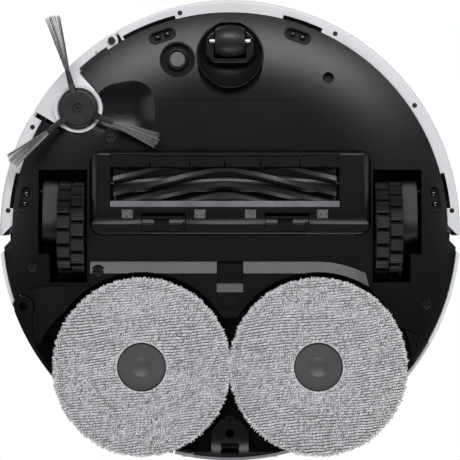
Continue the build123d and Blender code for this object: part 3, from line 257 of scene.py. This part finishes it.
def make_pile_look():
    """Looped microfibre: each loop has its own shade, with fine filaments along it."""
    look = Look("mop_cloth", (0.7, 0.7, 0.72), 0.85, Sheen_Weight=0.5, Sheen_Roughness=0.5)
    island = look.add("ShaderNodeNewGeometry").outputs["Random Per Island"]
    shade = look.ramp(island, (0.0, (0.5, 0.5, 0.52)), (0.4, (0.82, 0.82, 0.84)), (1.0, (0.98, 0.98, 1.0)))
    filament = look.noise(2200, 3.0, 0.7)
    mix = look.add("ShaderNodeMix", data_type="RGBA", blend_type="MULTIPLY")
    mix.inputs["Factor"].default_value = 0.4
    look.link(shade, mix.inputs[6])
    look.link(look.ramp(filament, (0.3, (0.55, 0.55, 0.56)), (0.7, (1.0, 1.0, 1.0))), mix.inputs[7])
    look.paint(mix.outputs[2])
    look.bump(filament, 0.0002)
    return look.mat


def make_backing_look():
    """The woven cloth behind the loops of a mop pad."""
    look = Look("mop_backing", (0.3, 0.3, 0.305), 0.95)
    weave = look.noise(1200, 3.0, 0.6)
    look.vary(weave, 0.3)
    look.bump(weave, 0.0002)
    return look.mat


def make_bristle_look():
    """Nylon strands, each with its own shade of grey."""
    look = Look("grey_bristle", (0.26, 0.26, 0.265), 0.45)
    island = look.add("ShaderNodeNewGeometry").outputs["Random Per Island"]
    look.paint(
        look.ramp(island, (0.0, (0.06, 0.06, 0.062)), (0.5, (0.16, 0.16, 0.165)), (1.0, (0.36, 0.36, 0.37)))
    )
    look.bump(look.noise(3000, 1.0), 0.00002)
    return look.mat


LOOKS = {
    "dark_plastic": moulded("dark_plastic", (0.0062, 0.0062, 0.0072), 0.31, Specular_IOR_Level=0.36),
    "black_plastic": moulded("black_plastic", (0.006, 0.006, 0.0068), 0.36),
    "white_plastic": moulded("white_plastic", (0.80, 0.80, 0.82), 0.34, grain=0.000008, blotch=0.015),
    "grey_plastic": moulded("grey_plastic", (0.082, 0.082, 0.087), 0.46),
    "window_plastic": moulded("window_plastic", (0.006, 0.006, 0.008), 0.12, grain=0.000002),
    "smoke_plastic": moulded("smoke_plastic", (0.05, 0.05, 0.055), 0.2, grain=0.000004),
    "contact_metal": metal("contact_metal", (0.75, 0.68, 0.55), 0.3, (1, 1, 12)),
    "black_steel": metal("black_steel", (0.05, 0.05, 0.055), 0.42, (1, 1, 1)),
    "steel": metal("steel", (0.6, 0.6, 0.61), 0.28, (12, 1, 1)),
    "grey_metal": metal("grey_metal", (0.4, 0.4, 0.41), 0.4, (1, 1, 8)),
    "lens": make_lens_look(),
    "grey_mesh": make_grille_look(),
    "black_rubber": rubbery("black_rubber", (0.011, 0.011, 0.0115), 0.45),
    "grey_rubber": rubbery("grey_rubber", (0.17, 0.17, 0.185), 0.5, 0.00002),
    "tyre": make_tyre_look(),
    "grey_bristle": make_bristle_look(),
    "grey_felt": make_felt_look(),
    "mop_cloth": make_pile_look(),
    "battery_wrap": moulded("battery_wrap", (0.02, 0.05, 0.13), 0.3),
    "green_board": make_board_look(),
    "filter_paper": make_paper_look(),
}
BACKING = make_backing_look()
MATT_BLACK = moulded("matt_black", (0.006, 0.006, 0.0065), 0.55)


def dress(obj, look):
    """Puts one material on every slot of an object."""
    if not obj.material_slots:
        obj.data.materials.append(look)
    for slot in obj.material_slots:
        slot.material = look


def soften(obj, width):
    """Rounds the hard edges of a CAD node for the light, without touching its mesh."""
    weld = obj.modifiers.new("weld", "WELD")
    weld.merge_threshold = 1e-6
    bevel = obj.modifiers.new("edge", "BEVEL")
    bevel.width = width
    bevel.segments = 2
    bevel.limit_method = "ANGLE"
    bevel.angle_limit = math.radians(35)
    bevel.use_clamp_overlap = True


for row in frame["record"]["subparts"]:
    dress(NODES[row["node"]], LOOKS[row["material_slot"]])
for word in ("right", "left"):
    dress(NODES[f"{word}_wheel_arm"], MATT_BLACK)


# ---- mesh helpers ----------------------------------------------------------------------------------
def new_piece(name, verts, faces, look, body):
    """A mesh object that rides on a body."""
    mesh = bpy.data.meshes.new(name)
    mesh.from_pydata(verts, [], faces)
    mesh.validate()
    mesh.shade_smooth()
    obj = bpy.data.objects.new(name, mesh)
    bpy.context.scene.collection.objects.link(obj)
    dress(obj, look)
    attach(obj, body)
    return obj


STRAND_SIDES = 4


def sweep(verts, faces, path, radii):
    """Adds a closed tube along a path to lists of vertices and faces."""
    sides = STRAND_SIDES
    first = len(verts)
    for index, (point, radius) in enumerate(zip(path, radii)):
        before = path[max(index - 1, 0)]
        after = path[min(index + 1, len(path) - 1)]
        along = (after - before).normalized()
        across = along.orthogonal().normalized()
        third = along.cross(across)
        for side in range(sides):
            turn = math.tau * side / sides
            verts.append(point + radius * (math.cos(turn) * across + math.sin(turn) * third))
    for ring in range(len(path) - 1):
        for side in range(sides):
            a = first + ring * sides + side
            b = first + ring * sides + (side + 1) % sides
            faces.append((a, b, b + sides, a + sides))
    faces.append(tuple(first + side for side in reversed(range(sides))))
    faces.append(tuple(first + (len(path) - 1) * sides + side for side in range(sides)))


# ---- mop pads --------------------------------------------------------------------------------------
ROW_PITCH = 2.05 * MM  # between rows of loops
LOOP_PITCH = 1.2 * MM  # between loops in a row
PAD_HOLE_R = 18.3 * MM
SEAMS = (37.5 * MM, 61.5 * MM)  # rings of stitching that pull the pile down


def seam_depth(radius):
    """One on a ring of stitching, falling to nothing either side of it."""
    return max(math.exp(-(((radius - seam) / (1.1 * MM)) ** 2)) for seam in SEAMS)


def pad_height(radius, edge):
    """Height of the pad's working face over the floor: flat, then rounding up to the edge."""
    inner = max(0.0, (PAD_HOLE_R + 1.8 * MM - radius) / (2.2 * MM))
    outer = max(0.0, (radius - (edge - 7 * MM)) / (7 * MM))
    return (1.35 + 0.5 * min(inner, 1.0) ** 2 + 3.4 * min(outer, 1.2) ** 2) * MM


def add_loop(verts, faces, root, lean, length, thick):
    """One yarn loop: a short fat bead that leans over its neighbour."""
    up = Vector((0, 0, -1))  # the working face looks down
    side = lean.cross(up).normalized()
    first = len(verts)
    steps = 5
    ring = 6
    for step in range(steps):
        t = step / (steps - 1)
        centre = root + lean * (length * (t - 0.5)) + up * (thick * 0.45 * math.sin(math.pi * t))
        girth = thick * 0.5 * (0.34 + 0.66 * math.sin(math.pi * (0.12 + 0.80 * t)))
        for k in range(ring):
            turn = math.tau * k / ring
            verts.append(centre + girth * (math.cos(turn) * side + math.sin(turn) * up))
    for step in range(steps - 1):
        for k in range(ring):
            a = first + step * ring + k
            b = first + step * ring + (k + 1) % ring
            faces.append((a, b, b + ring, a + ring))
    faces.append(tuple(first + k for k in reversed(range(ring))))
    faces.append(tuple(first + (steps - 1) * ring + k for k in range(ring)))


def make_backing(word, centre, cad_r, edge, top):
    """The cloth that the loops stand on: a thick disc with a hole for the hub."""
    rings, spokes = 26, 96
    verts, faces = [], []
    radii = [PAD_HOLE_R + (cad_r - 0.6 * MM - PAD_HOLE_R) * k / (rings - 1) for k in range(rings)]
    for radius in radii:
        for spoke in range(spokes):
            turn = math.tau * spoke / spokes
            z = pad_height(radius, edge) + 0.55 * MM
            verts.append(centre + Vector((radius * math.cos(turn), radius * math.sin(turn), z)))
    for radius in reversed(radii):
        for spoke in range(spokes):
            turn = math.tau * spoke / spokes
            verts.append(centre + Vector((radius * math.cos(turn), radius * math.sin(turn), top)))
    total = 2 * rings
    for ring in range(total):
        for spoke in range(spokes):
            a = ring * spokes + spoke
            b = ring * spokes + (spoke + 1) % spokes
            c = ((ring + 1) % total) * spokes
            faces.append((a, c + spoke, c + (spoke + 1) % spokes, b))
    new_piece(f"{word}_pad_backing", verts, faces, BACKING, f"{word}_mop")


def add_rows(verts, faces, centre, edge, seed, rng):
    """Rows of slanting loops over the whole working face."""
    reach = edge + 1 * MM
    for row in range(int(2.3 * reach / ROW_PITCH)):
        base_y = -1.15 * reach + row * ROW_PITCH
        x = -reach + rng.random() * LOOP_PITCH
        while x < reach:
            drift = noise.noise(Vector((x * 22 + seed, base_y * 22, 0.3)))
            wobble = noise.noise(Vector((x * 120, base_y * 120, seed + 9.0)))
            lump = noise.noise(Vector((x * 45, base_y * 45, seed + 3.0)))
            y = base_y - 0.1 * x + (2.6 * drift + 0.5 * wobble + rng.uniform(-0.14, 0.14)) * MM
            radius = math.hypot(x, y)
            out = Vector((x, y, 0)).normalized()
            place = Vector((x, y, 0))
            x += LOOP_PITCH * rng.uniform(0.8, 1.2)
            if radius > edge - 1.0 * MM or radius < PAD_HOLE_R + 0.8 * MM or rng.random() < 0.012:
                continue
            lean_turn = math.radians(-60 + 24 * lump + rng.uniform(-12, 12))
            lean = Vector((math.cos(lean_turn), math.sin(lean_turn), 0))
            fringe = max(0.0, (radius - (edge - 5 * MM)) / (5 * MM))
            lean = (lean * (1 - 0.8 * fringe) + out * fringe).normalized()
            seam = seam_depth(radius)
            height = pad_height(radius, edge) + (0.25 * lump + rng.uniform(-0.22, 0.22) + 0.55 * seam) * MM
            place.z = max(height, 1.15 * MM)
            lean = (lean + Vector((0, 0, 0.25 * fringe + rng.uniform(-0.12, 0.12)))).normalized()
            length = rng.uniform(1.9, 2.6) * (1 - 0.3 * seam)
            add_loop(verts, faces, centre + place, lean, length * MM, rng.uniform(0.85, 1.2) * MM)


def add_fringe(verts, faces, centre, edge, rng):
    """Ragged tufts round the edge in three tiers, and a neat collar of loops round the hub."""
    for spread, height in ((0.0, 3.2), (-0.6, 4.9), (-0.4, 6.5)):
        count = int(math.tau * edge / (1.05 * MM))
        for k in range(count):
            turn = math.tau * (k + rng.uniform(-0.4, 0.4)) / count
            out = Vector((math.cos(turn), math.sin(turn), 0))
            swirl = Vector((-out.y, out.x, 0)) * rng.uniform(-0.8, 0.6)
            root = centre + out * (edge + (spread - 1.7 + rng.uniform(-1.0, 0.8)) * MM)
            root.z = (height + rng.uniform(-0.6, 0.6)) * MM
            lean = (out + swirl + Vector((0, 0, rng.uniform(-0.3, 0.3)))).normalized()
            add_loop(verts, faces, root, lean, rng.uniform(2.2, 4.4) * MM, rng.uniform(0.8, 1.25) * MM)
    count = int(math.tau * PAD_HOLE_R / (1.1 * MM))
    for k in range(count):
        turn = math.tau * (k + rng.uniform(-0.2, 0.2)) / count
        out = Vector((math.cos(turn), math.sin(turn), 0))
        along = Vector((-out.y, out.x, 0))
        root = centre + out * (PAD_HOLE_R + 0.75 * MM)
        root.z = 1.75 * MM
        add_loop(verts, faces, root, (along + out * 0.5).normalized(), 1.9 * MM, 1.1 * MM)


def make_pad(word, seed):
    """A mop pad: a backing disc under rows of slanting microfibre loops, with a ragged edge."""
    rng = random.Random(seed)
    low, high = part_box(f"{word}_mop_pad")
    centre = Vector(((low.x + high.x) / 2, (low.y + high.y) / 2, 0))
    cad_r = (high.x - low.x) / 2
    edge = cad_r + 1.6 * MM
    make_backing(word, centre, cad_r, edge, high.z - 0.2 * MM)
    verts, faces = [], []
    add_rows(verts, faces, centre, edge, seed, rng)
    add_fringe(verts, faces, centre, edge, rng)
    pile = new_piece(f"{word}_pad_pile", verts, faces, LOOKS["mop_cloth"], f"{word}_mop")
    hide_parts(f"{word}_mop_pad")


make_pad("right", 11)
make_pad("left", 29)


# ---- side brush bristles ---------------------------------------------------------------------------
STRANDS = 54
BRISTLE_FANS = ((255.0, 71.5), (140.8, 64.6), (22.6, 66.4))  # degrees from +X, reach in millimetres


def make_bristles():
    """Three fans of nylon bristles, each strand running straight out and down to the floor."""
    rng = random.Random(5)
    joints = {joint["name"]: joint for joint in frame["joints"]}
    hub = Vector(joints["side_brush_spin"]["pos_m"])
    verts, faces = [], []
    for turn, length in BRISTLE_FANS:
        angle = math.radians(turn)
        out = Vector((math.cos(angle), math.sin(angle), 0))
        across = Vector((-out.y, out.x, 0))
        for strand in range(STRANDS):
            fan = 2 * (strand + 0.5) / STRANDS - 1 + rng.uniform(-0.05, 0.05)
            tier = rng.uniform(-1, 1)
            reach = length * rng.uniform(0.985, 1.015) - 2.0 * abs(fan)
            path, radii = [], []
            for step in range(6):
                t = step / 5
                r = 26.0 + (reach - 26.0) * t
                offset = fan * (1.3 + 4.6 * t) + rng.uniform(-0.1, 0.1) * t
                point = Vector((hub.x, hub.y, 0)) + (out * r + across * offset) * MM
                point.z = max(9.9 - 7.4 * t**1.15 + tier * (0.7 + 0.2 * t), 0.6) * MM
                path.append(point)
                radii.append(0.2 * MM * (1.0 - 0.25 * t))
            sweep(verts, faces, path, radii)
    bristles = new_piece(
        "side_brush_strands", verts, faces, LOOKS["grey_bristle"], "side_brush"
    )
    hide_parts("side_brush_bristles")


make_bristles()

# ---- edges of the moulded parts --------------------------------------------------------------------
SOFT_EDGES = {
    "bumper_shell": 0.3, "brush_guard": 0.4,
    "guard_comb": 0.3, "guard_wiper": 0.4, "guard_latch_right": 0.35, "guard_latch_left": 0.35,
    "side_brush_arm": 0.6, "side_brush_hub": 0.4, "caster_swivel": 0.6, "carpet_sensor_ring": 0.35,
    "cliff_sensor_housings": 0.4, "cliff_sensor_lenses": 0.5, "chassis_screws": 0.25, "bumper_screws": 0.3,
    "side_brush_screw": 0.2, "side_arm_pin": 0.3, "right_wheel_arm": 0.8, "left_wheel_arm": 0.8,
    "right_tyre": 0.35, "left_tyre": 0.35, "right_wheel_hub": 0.5, "left_wheel_hub": 0.5, "mop_arm": 0.6,
    "right_mop_disc": 0.4, "left_mop_disc": 0.4, "top_frame": 0.4, "lidar_base": 0.5, "charge_contacts": 0.3,
    "caster_wheel": 0.4, "brush_housing": 0.5,
}
for node, width in SOFT_EDGES.items():
    soften(NODES[node], width * MM)

# ---- floor, light and camera -----------------------------------------------------------------------
scene = bpy.context.scene
scene.view_settings.view_transform = "Standard"
scene.view_settings.look = "None"


def make_floor():
    """A pale floor that shows from above only, so that the underside can be seen through it."""
    size = 6.0
    mesh = bpy.data.meshes.new("floor")
    corners = [(-size, -size, 0), (size, -size, 0), (size, size, 0), (-size, size, 0)]
    mesh.from_pydata([Vector(c) - Vector((0, 0, 0.0004)) for c in corners], [], [(0, 1, 2, 3)])
    floor = bpy.data.objects.new("floor", mesh)
    scene.collection.objects.link(floor)
    look = Look("floor_paint", (0.83, 0.83, 0.83), 0.7)
    look.vary(look.noise(3, 3.0), 0.01)
    clear = look.add("ShaderNodeBsdfTransparent")
    side = look.add("ShaderNodeNewGeometry").outputs["Backfacing"]
    mix = look.add("ShaderNodeMixShader")
    output = look.tree.nodes["Material Output"]
    look.link(side, mix.inputs["Fac"])
    look.link(look.shader.outputs["BSDF"], mix.inputs[1])
    look.link(clear.outputs["BSDF"], mix.inputs[2])
    look.link(mix.outputs["Shader"], output.inputs["Surface"])
    dress(floor, look.mat)
    floor.visible_shadow = False
    floor.visible_diffuse = False
    floor.visible_glossy = False
    floor.visible_transmission = False


def area_light(name, place, target, size, power):
    data = bpy.data.lights.new(name, "AREA")
    data.shape = "RECTANGLE"
    data.size, data.size_y = size
    data.energy = power
    light = bpy.data.objects.new(name, data)
    light.location = place
    light.rotation_euler = (Vector(target) - Vector(place)).to_track_quat("-Z", "Y").to_euler()
    scene.collection.objects.link(light)


def make_world():
    """White paper to the camera, and a weak cool light to everything else."""
    world = bpy.data.worlds.new("studio")
    scene.world = world
    world.use_nodes = True
    tree = world.node_tree
    back = tree.nodes["Background"]
    back.inputs["Color"].default_value = (0.9, 0.95, 1.0, 1.0)
    back.inputs["Strength"].default_value = 0.07
    paper = tree.nodes.new("ShaderNodeBackground")
    paper.inputs["Color"].default_value = (1, 1, 1, 1)
    paper.inputs["Strength"].default_value = 1.0
    ray = tree.nodes.new("ShaderNodeLightPath")
    mix = tree.nodes.new("ShaderNodeMixShader")
    tree.links.new(ray.outputs["Is Camera Ray"], mix.inputs["Fac"])
    tree.links.new(back.outputs["Background"], mix.inputs[1])
    tree.links.new(paper.outputs["Background"], mix.inputs[2])
    tree.links.new(mix.outputs["Shader"], tree.nodes["World Output"].inputs["Surface"])


make_floor()
make_world()
# from below: a wide soft key in front, a narrow strip at the front right, and fills at both sides and behind
area_light("key_below", (0.0, -0.86, -1.15), (0, 0, 0), (1.5, 0.42), 17)
area_light("strip_below", (1.0, -0.9, -0.75), (0.05, 0, 0), (0.35, 1.0), 2.2)
area_light("low_left", (-1.2, -0.15, -0.3), (0, 0, 0), (0.3, 1.1), 1.8)
area_light("low_right", (1.2, -0.15, -0.3), (0, 0, 0), (0.3, 1.1), 1.6)
area_light("rear_below", (0.1, 1.3, -0.5), (0, 0.1, 0), (1.2, 0.3), 8.0)
# from above, for every other view
area_light("key_above", (-0.9, -1.1, 1.6), (0, 0, 0), (1.2, 1.2), 34)
area_light("fill_above", (1.3, 0.6, 1.2), (0, 0, 0.05), (1.0, 1.0), 14)

CAMERA_DISTANCE = 1.6
camera_data = bpy.data.cameras.new("camera")
camera = bpy.data.objects.new("camera", camera_data)
scene.collection.objects.link(camera)
camera.location = (0.0, 0.0, -CAMERA_DISTANCE)
camera.rotation_euler = (math.pi, 0, 0)
camera_data.sensor_width = 36.0
camera_data.lens = 36.0 * (CAMERA_DISTANCE + 0.026) / (2 * BODY_R)
camera_data.clip_start = 0.05
scene.camera = camera
